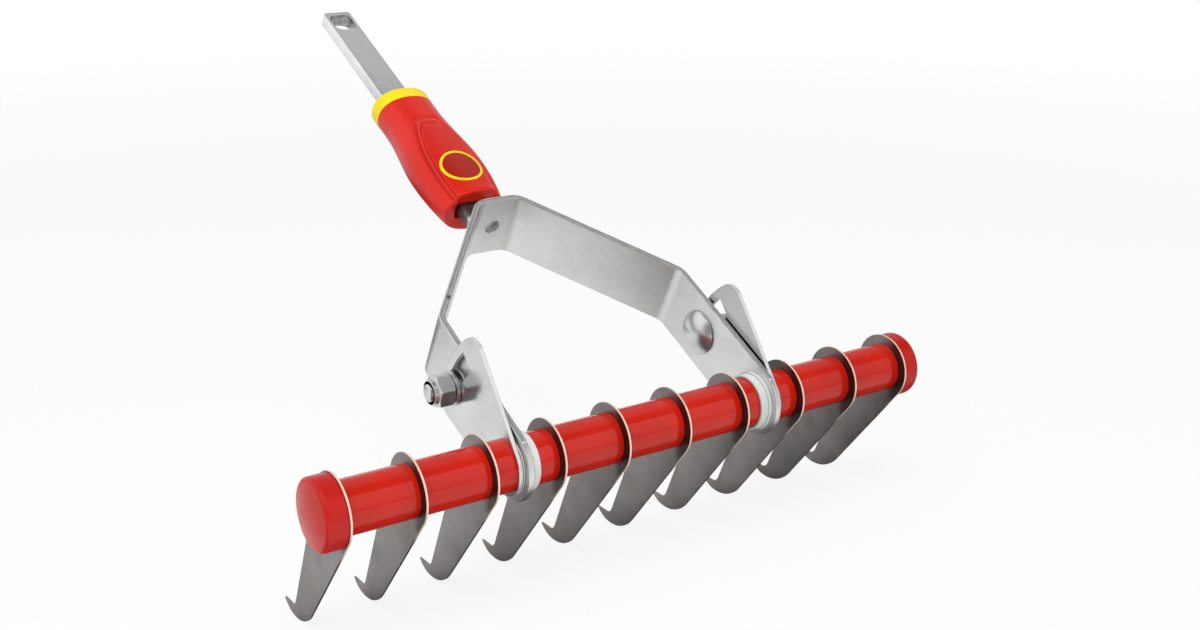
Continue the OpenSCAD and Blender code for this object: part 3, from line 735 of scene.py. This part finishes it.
def softened(node, width, name, segments=3):
    piece = copied(nodes[node], name)
    only(piece)
    bpy.ops.mesh.customdata_custom_splitnormals_clear()
    edit_all(piece)
    bpy.ops.mesh.remove_doubles(threshold=1e-6)
    bpy.ops.mesh.dissolve_limited(angle_limit=FLAT)
    bpy.ops.object.mode_set(mode="OBJECT")
    apply_modifier(piece, "BEVEL", width=width * MM, segments=segments, limit_method="ANGLE",
                   angle_limit=CORNER, use_clamp_overlap=False)
    bpy.ops.object.shade_smooth_by_angle(angle=SMOOTH)
    apply_modifier(piece, "WEIGHTED_NORMAL", keep_sharp=True)
    return piece


# The new piece's name and its edge round in millimetres
SHEET_EDGES = {
    "yoke": ("yoke_strip", 0.45),
    "tang": ("tang_bar", 0.4),
    "link_plate_left": ("link_plate_left_rounded", 0.35),
    "link_plate_right": ("link_plate_right_rounded", 0.35),
    "gap_washers": ("gap_washers_rounded", 0.2),
    "nut_washers": ("nut_washers_rounded", 0.25),
    "lock_nut_left": ("lock_nut_left_rounded", 0.25),
    "lock_nut_right": ("lock_nut_right_rounded", 0.25),
    "bush_left": ("bush_left_rounded", 0.3),
    "bush_right": ("bush_right_rounded", 0.3)}
for node, (name, width) in SHEET_EDGES.items():
    piece = softened(node, width, name)
    stand_for(piece, node)
    print(name, len(piece.data.polygons), "faces")

# %% [markdown]
# ## Blades
#
# The ten blades are one shape, so one is softened and copied along the roller, each copy with a
# mesh of its own. The point of the hook is ground back a little first, which leaves it blunt.

# %% Blades
BLADE_ROUND = 0.12
# The hook lies past this reach and below this depth from the axis, and keeps this share of its length
HOOK_FROM, HOOK_BELOW, HOOK_SHARE = 51.0, 58.0, 0.77
BLADES = 10
blade = softened("tine_1", BLADE_ROUND, "blade_1", segments=2)
for vertex in blade.data.vertices:
    reach, below = (vertex.co.y - roller_axis.y) / MM, (roller_axis.z - vertex.co.z) / MM
    if reach > HOOK_FROM and below > HOOK_BELOW:
        vertex.co.y = roller_axis.y + (HOOK_FROM + HOOK_SHARE * (reach - HOOK_FROM)) * MM
first_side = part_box("tine_1")[0].x
for number in range(2, BLADES + 1):
    copy = copied(blade, f"blade_{number}")
    copy.data.transform(Matrix.Translation((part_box(f"tine_{number}")[0].x - first_side, 0, 0)))
    stand_for(copy, f"tine_{number}")
stand_for(blade, "tine_1")
print(BLADES, "blades of", len(blade.data.polygons), "faces")

# %% [markdown]
# ## Sleeve
#
# The red sleeve is a soft oval moulding round the bar. A raised panel runs along its top, edged by a
# bevel between two fine grooves, and ends in a rounded brow over the lower opening. A grid is the
# easy start for such a skin: its columns become the way round and its rows the way along, and each
# point is moved to its place. Some columns follow the panel's edge exactly, so the grooves stay
# crisp. The skin runs from the slot for the bar out through the opening, along the outside and back
# to the slot, so it closes on itself.

# %% Sleeve sizes
# In millimetres, and as shares of the sleeve's length and half widths
SLEEVE_START, SLEEVE_LEN = 161.5, 81.5
SLEEVE_HALF = (20.5, 12.75)
SLEEVE_PEAK, SLEEVE_NECK = 0.385, 0.885
LOWER_LOSS, UPPER_LOSS = (0.19, 0.09), (0.205, 0.03)
SECTION_POWER, TAPER = 2.2, 2.1
TANG_HALF = (8.75, 3.75)
BAR_DROP = TANG_HALF[1]
SLOT_GAP, SLOT_POWER, SLOT_DEPTH = 0.25, 8, 14
SLOT_HALF = [half + SLOT_GAP for half in TANG_HALF]
MOUTH_HALF, MOUTH_DEPTHS = (10.75, 4.95), (8.2, 4, 1.1)
MOUTH_ROUND, MOUTH_DROOP = 1.0, 1.0
PANEL_HALF, PANEL_LOSS = 13.2, (0.125, 0.542)
PANEL_END, PANEL_PEAK = 0.731, 0.335
PANEL_SLOPE, PANEL_CORNER = 6.0, 3.0
BEVEL_W = 2.2
BROW_HEIGHT, BROW_FROM, BROW_TO, BROW_SETBACK = 0.3, 6, 2.2, 1.0
# Height of the panel's edge at a distance inwards from the bevel's foot
EDGE_PROFILE = [
    (-0.7, 0), (-0.45, -0.15), (-0.2, -0.75), (0.15, -0.75), (0.4, -0.05), (0.7, 0.22), (1.2, 0.5),
    (1.6, 0.74), (1.8, 0.65), (2.0, 0.15), (2.3, 0.15), (2.5, 0.75), (2.8, 0.9), (3.3, 0.9)]
PANEL_RISE = EDGE_PROFILE[-1][1]
print("sleeve", SLEEVE_LEN, "long, panel", round(PANEL_END * SLEEVE_LEN, 1), "long")


# %% Curves that the sleeve follows
def signed_power(value, power):
    return math.copysign(abs(value) ** power, value)


def smooth(value, low, high):
    share = min(1, max(0, (value - low) / (high - low)))
    return share * share * (3 - 2 * share)


def soft_min(first, second, width):
    share = max(0, width - abs(first - second)) / width
    return min(first, second) - share * share * width / 4


def read_off(table, value):
    """Straight lines between the pairs of a table, level beyond its ends."""
    if value <= table[0][0]:
        return table[0][1]
    for (low, first), (high, second) in zip(table, table[1:]):
        if value <= high:
            return first + (second - first) * (value - low) / (high - low)
    return table[-1][1]


def rim_inset(depth, radius):
    """How far a rounded rim falls back at a depth from the end."""
    if depth >= radius:
        return 0
    return radius - math.sqrt(radius ** 2 - (radius - depth) ** 2)


def oval(half, power, turn, u, middle):
    """Point of an oval that stands square on the bar. A higher power gives squarer corners."""
    x = half[0] * signed_power(math.cos(turn), 2 / power)
    return on_tool(x, u, middle + half[1] * signed_power(math.sin(turn), 2 / power))


print("panel's edge rises to", read_off(EDGE_PROFILE, 2 * BEVEL_W), "mm")


# %% Sleeve shape
def sleeve_loss(share, lower, upper):
    if share < SLEEVE_PEAK:
        return lower * ((SLEEVE_PEAK - share) / SLEEVE_PEAK) ** TAPER
    return upper * smooth(share, SLEEVE_PEAK, SLEEVE_NECK)


def sleeve_half(share):
    """Half width and half height at a share of the sleeve's length."""
    return [half * (1 - sleeve_loss(share, lower, upper))
            for half, lower, upper in zip(SLEEVE_HALF, LOWER_LOSS, UPPER_LOSS)]


def sleeve_middle(share):
    return -BAR_DROP - MOUTH_DROOP * (1 - share) ** 3


def panel_half(share):
    place = min(share / PANEL_END, 1)
    lower, upper = PANEL_LOSS
    if place < PANEL_PEAK:
        return PANEL_HALF * (1 - lower * ((PANEL_PEAK - place) / PANEL_PEAK) ** TAPER)
    return PANEL_HALF * (1 - upper * ((place - PANEL_PEAK) / (1 - PANEL_PEAK)) ** TAPER)


print("sleeve halves at its widest", [round(half, 2) for half in sleeve_half(SLEEVE_PEAK)])

# %% [markdown]
# Each ring has its columns in the same order: the right edge of the panel, the panel, its left edge,
# then round below. Only the angles change from ring to ring as the panel grows narrower.

# %% Sleeve rings
EDGE_STEPS = [inwards for inwards, height in EDGE_PROFILE]
PANEL_STEPS, UNDER_STEPS = 40, 90
# Distances from the bevel's foot that stand for well inside and well outside the panel
ON_PANEL, OFF_PANEL = EDGE_STEPS[-1] + 20, -9


def sleeve_turns(share):
    """Angles of a ring's points, each with its distance inwards from the bevel's foot."""
    wide, foot = sleeve_half(share)[0], panel_half(share) + BEVEL_W / 2
    edge = [(math.acos(((foot - d) / wide) ** (SECTION_POWER / 2)), d) for d in EDGE_STEPS]
    first, last = edge[-1][0], edge[0][0]
    over, below = math.pi - 2 * first, math.pi + 2 * last
    panel = [(first + over * k / PANEL_STEPS, ON_PANEL) for k in range(1, PANEL_STEPS)]
    under = [(math.pi - last + below * k / UNDER_STEPS, OFF_PANEL) for k in range(1, UNDER_STEPS)]
    return edge + panel + [(math.pi - turn, d) for turn, d in reversed(edge)] + under


def sleeve_ring(depth):
    """Ring of the outside at a depth in millimetres from the lower end."""
    share = depth / SLEEVE_LEN
    to_end = (PANEL_END * SLEEVE_LEN + PANEL_SLOPE / 2 - depth) * (BEVEL_W / PANEL_SLOPE)
    points = []
    for turn, inwards in sleeve_turns(share):
        across = smooth(inwards, 0, BEVEL_W)
        brow = BROW_HEIGHT * across * smooth(depth, BROW_FROM, BROW_TO)
        edge = read_off(EDGE_PROFILE, soft_min(inwards, to_end, PANEL_CORNER))
        out = edge + brow - rim_inset(depth, MOUTH_ROUND)
        half = [h + out for h in sleeve_half(share)]
        u = SLEEVE_START + depth + BROW_SETBACK * across * (1 - share) ** 10
        points.append(oval(half, SECTION_POWER, turn, u, sleeve_middle(share)))
    return points


def slot_ring(u, turns, half=SLOT_HALF):
    return [oval(half, SLOT_POWER, turn, u, -BAR_DROP) for turn in turns]


print("columns of a ring", len(sleeve_turns(SLEEVE_PEAK)))

# %% [markdown]
# One helper turns a list of rings into a skin. It serves every lofted piece below: sleeve, collar,
# oval rim, bolts and weld.

# %% Skins made from rings
SKIN_SMOOTH = math.radians(40)


def lofted(name, rings):
    """A skin through closed rings of points. A grid is shaped, then its seam is merged."""
    rows, columns = len(rings) - 1, len(rings[0])
    bpy.ops.object.select_all(action="DESELECT")
    bpy.ops.mesh.primitive_grid_add(x_subdivisions=columns, y_subdivisions=rows, size=2)
    piece = bpy.context.object
    piece.name = name
    for vertex in piece.data.vertices:
        column = round((vertex.co.x + 1) / 2 * columns) % columns
        row = round((vertex.co.y + 1) / 2 * rows)
        vertex.co = rings[row][column]
    edit_all(piece)
    bpy.ops.mesh.remove_doubles(threshold=1e-6)
    bpy.ops.mesh.normals_make_consistent(inside=False)
    bpy.ops.object.mode_set(mode="OBJECT")
    bpy.ops.object.shade_smooth_by_angle(angle=SKIN_SMOOTH)
    print(name, len(piece.data.polygons), "faces")
    return piece


# %% [markdown]
# The rings stand close together where the shape turns: at the rounded rim of the opening and at the
# slope that ends the panel. Elsewhere they are evenly spaced.

# %% Sleeve skin
RIM_PLACES = [0, 0.03, 0.12, 0.3, 0.55, 0.85, 1.2, 1.6, 2.0, 2.4]
EVEN_FROM, EVEN_STEP, CLEAR = 2.8, 0.8, 0.3
foot = PANEL_END * SLEEVE_LEN + PANEL_SLOPE / 2
slope_places = [foot - d * PANEL_SLOPE / BEVEL_W for d in reversed(EDGE_STEPS)]
even_places = [EVEN_FROM + EVEN_STEP * k for k in range(int(SLEEVE_LEN / EVEN_STEP))]
places = RIM_PLACES + [d for d in even_places if d < slope_places[0] - CLEAR] + slope_places
places += [d for d in even_places if slope_places[-1] + CLEAR < d < SLEEVE_LEN - CLEAR]
turns = [turn for turn, inwards in sleeve_turns(0)]
sleeve_end = SLEEVE_START + SLEEVE_LEN
sleeve_rings = [slot_ring(sleeve_end, turns), slot_ring(SLEEVE_START + SLOT_DEPTH, turns)]
sleeve_rings += [slot_ring(SLEEVE_START + depth, turns, MOUTH_HALF) for depth in MOUTH_DEPTHS]
sleeve_rings += [sleeve_ring(depth) for depth in places + [SLEEVE_LEN]]
sleeve_rings.append(sleeve_rings[0])
stand_for(lofted("sleeve_skin", sleeve_rings), "sleeve")

# %% [markdown]
# ## Collar
#
# The yellow collar is a separate ring that sits on the sleeve's upper end. It is a flat band: the
# lower rim is nearly sharp, the upper one is rounded, and its upper face is flat, because the
# handle's socket seats on it. A bevelled tube would do, but the loft gives each rim its own round.

# %% Collar skin
COLLAR_HALF, COLLAR_LEN = (16.5, 12.5), 8.0
LOW_RIM, HIGH_RIM = 0.4, 1.0
EVEN_COLUMNS, RIM_STEPS = 160, 6
even_turns = [2 * math.pi * k / EVEN_COLUMNS for k in range(EVEN_COLUMNS)]


def collar_ring(inset, rise):
    half = [h - inset for h in COLLAR_HALF]
    return [oval(half, SECTION_POWER, turn, sleeve_end + rise, -BAR_DROP) for turn in even_turns]


quarter = [math.pi / 2 * k / RIM_STEPS for k in range(RIM_STEPS + 1)]
collar_rings = [slot_ring(sleeve_end, even_turns)]
collar_rings += [collar_ring(LOW_RIM * (1 - math.sin(t)), LOW_RIM * (1 - math.cos(t))) for t in quarter]
collar_rings += [collar_ring(0, COLLAR_LEN / 2)]
collar_rings += [collar_ring(HIGH_RIM * (1 - math.cos(t)), COLLAR_LEN - HIGH_RIM * (1 - math.sin(t)))
                 for t in quarter]
collar_rings += [slot_ring(sleeve_end + COLLAR_LEN, even_turns)]
collar_rings.append(collar_rings[0])
stand_for(lofted("collar_skin", collar_rings), "collar")

# %% [markdown]
# ## Oval rim on the panel
#
# A plain yellow rim frames the oval field on the panel. It is a bent band: its section is a low
# rounded bar, and the rings of the loft are the same oval drawn a little larger each time. Each
# point takes its height from the panel below it, so the band follows the panel's curve.

# %% Oval rim
# Each pair is the distance outwards from the oval and the rise above the panel
RIM_SECTION = [(-0.75, -0.3), (-0.75, 0.2), (-0.55, 0.42), (0.55, 0.42), (0.75, 0.2), (0.75, -0.3)]


def panel_top(x, u):
    share = (u - SLEEVE_START) / SLEEVE_LEN
    wide, high = [half + PANEL_RISE for half in sleeve_half(share)]
    return sleeve_middle(share) + high * (1 - (abs(x) / wide) ** SECTION_POWER) ** (1 / SECTION_POWER)


def rim_ring(outwards, rise):
    points = []
    for turn in even_turns:
        x = (OVAL_HALF[0] + outwards) * math.cos(turn)
        u = OVAL_PLACE + (OVAL_HALF[1] + outwards) * math.sin(turn)
        points.append(on_tool(x, u, panel_top(x, u) + rise))
    return points


rim_rings = [rim_ring(*pair) for pair in RIM_SECTION]
dress(lofted("oval_rim", rim_rings + rim_rings[:1]), "collar_plastic", "tool")

# %% [markdown]
# ## Bolts
#
# A carriage bolt is turned, apart from its square neck, so it is lofted along its own axis from the
# top of the dome to the end of the thread. The thread is a groove whose depth depends on the turn as
# well as on the place along the bolt, which makes it climb. The second bolt is the first one turned
# half round.

# %% Bolt shape
BOLT_PLACE = 47.6
TAB_IN, TAB_OUT, NUT_END, BOLT_END = 65.292, 68.292, 82.692, 83.892
HEAD_R, HEAD_H, HEAD_RIM, DOME_STEPS = 10.9, 6.4, 0.9, 20
BOLT_R, PITCH, GROOVE, GROOVE_SHARE = 4.0, 1.25, 0.3, 0.42
THREAD_IN, THREAD_STEP, THREAD_RUNOUT = 1.5, 0.1, 0.5
NECK_POWER = 12
# Along the bolt and out from its radius: the head's lower edge, and the chamfered tip
HEAD_EDGE = [(-0.55, 0.06), (-0.2, 0), (0, -0.3)]
BOLT_TIP = [(-0.15, -0.55), (0, -0.9), (0, -BOLT_R)]
BOLT_COLUMNS = 64
bolt_turns = [2 * math.pi * k / BOLT_COLUMNS for k in range(BOLT_COLUMNS)]


def bolt_ring(x, radius, power=2, groove=0.0):
    points = []
    for turn in bolt_turns:
        climb = (x / PITCH - turn / (2 * math.pi)) % 1
        size = radius - groove * max(0, 1 - abs(climb - 0.5) / GROOVE_SHARE)
        u = BOLT_PLACE + size * signed_power(math.cos(turn), 2 / power)
        points.append(on_tool(x, u, size * signed_power(math.sin(turn), 2 / power)))
    return points


print("a bolt", round(BOLT_END - TAB_IN + HEAD_H, 2), "mm long")

# %% Bolts
dome_h = HEAD_H - HEAD_RIM
dome_r = (HEAD_R ** 2 + dome_h ** 2) / (2 * dome_h)
dome_turns = [math.asin(HEAD_R / dome_r) * k / DOME_STEPS for k in range(DOME_STEPS + 1)]
head_top = TAB_IN - HEAD_H
bolt_rings = [bolt_ring(head_top + dome_r * (1 - math.cos(t)), dome_r * math.sin(t)) for t in dome_turns]
bolt_rings += [bolt_ring(TAB_IN + x, HEAD_R + out) for x, out in HEAD_EDGE]
bolt_rings += [bolt_ring(x, BOLT_R, NECK_POWER) for x in (TAB_IN, TAB_OUT)] + [bolt_ring(TAB_OUT, BOLT_R)]
thread_rows = int((BOLT_END - NUT_END + THREAD_IN) / THREAD_STEP)
thread = [NUT_END - THREAD_IN + THREAD_STEP * k for k in range(thread_rows)]
bolt_rings += [bolt_ring(x, BOLT_R, groove=GROOVE) for x in thread if x < BOLT_END - THREAD_RUNOUT]
bolt_rings += [bolt_ring(BOLT_END + x, BOLT_R + out) for x, out in BOLT_TIP]
bolt = lofted("bolt_right", bolt_rings)
to_bolt = tool_frame @ Matrix.Translation((0, BOLT_PLACE * MM, 0))
other_bolt = copied(bolt, "bolt_left")
other_bolt.data.transform(to_bolt @ Matrix.Rotation(math.pi, 4, "Z") @ to_bolt.inverted())
for piece, node in ((bolt, "carriage_bolt_right"), (other_bolt, "carriage_bolt_left")):
    stand_for(piece, node)
    # The bolts are brighter than the nuts and washers of the same slot
    wear(piece, head_zinc)
print("bolts at", BOLT_PLACE, "mm up the strip")

# %% [markdown]
# ## Weld
#
# The bar's foot is welded to the back of the strip. The bead is a lumpy fillet round the bar: noise
# moves each point a little, and a slow ripple round the bar gives the rings of a weld.

# %% Weld bead
WEB_BACK = 146.5
WELD_POWER, WELD_RIPPLES, WELD_RIPPLE = 5, 26, 0.12
LUMP_SIZE, LUMP_HEIGHT = 2.2 * MM, 0.35 * MM
# Each pair is the distance outwards from the bar and the rise above the strip
WELD_SECTION = [(-0.6, 0.0), (3.6, -0.1), (3.3, 0.7), (2.2, 1.7), (1.2, 2.6), (0.4, 3.6), (-0.6, 4.0)]


def weld_ring(outwards, rise):
    points = []
    for turn in even_turns:
        ripple = 1 + WELD_RIPPLE * math.sin(WELD_RIPPLES * turn)
        half = [h + outwards * ripple for h in TANG_HALF]
        point = oval(half, WELD_POWER, turn, WEB_BACK + rise * ripple, -BAR_DROP)
        lump = noise.noise_vector(point / LUMP_SIZE) * LUMP_HEIGHT
        points.append(point + lump if rise > 0 else point)
    return points


weld_rings = [weld_ring(*pair) for pair in WELD_SECTION]
dress(lofted("weld_bead", weld_rings + weld_rings[:1]), "tang_steel", "tool")
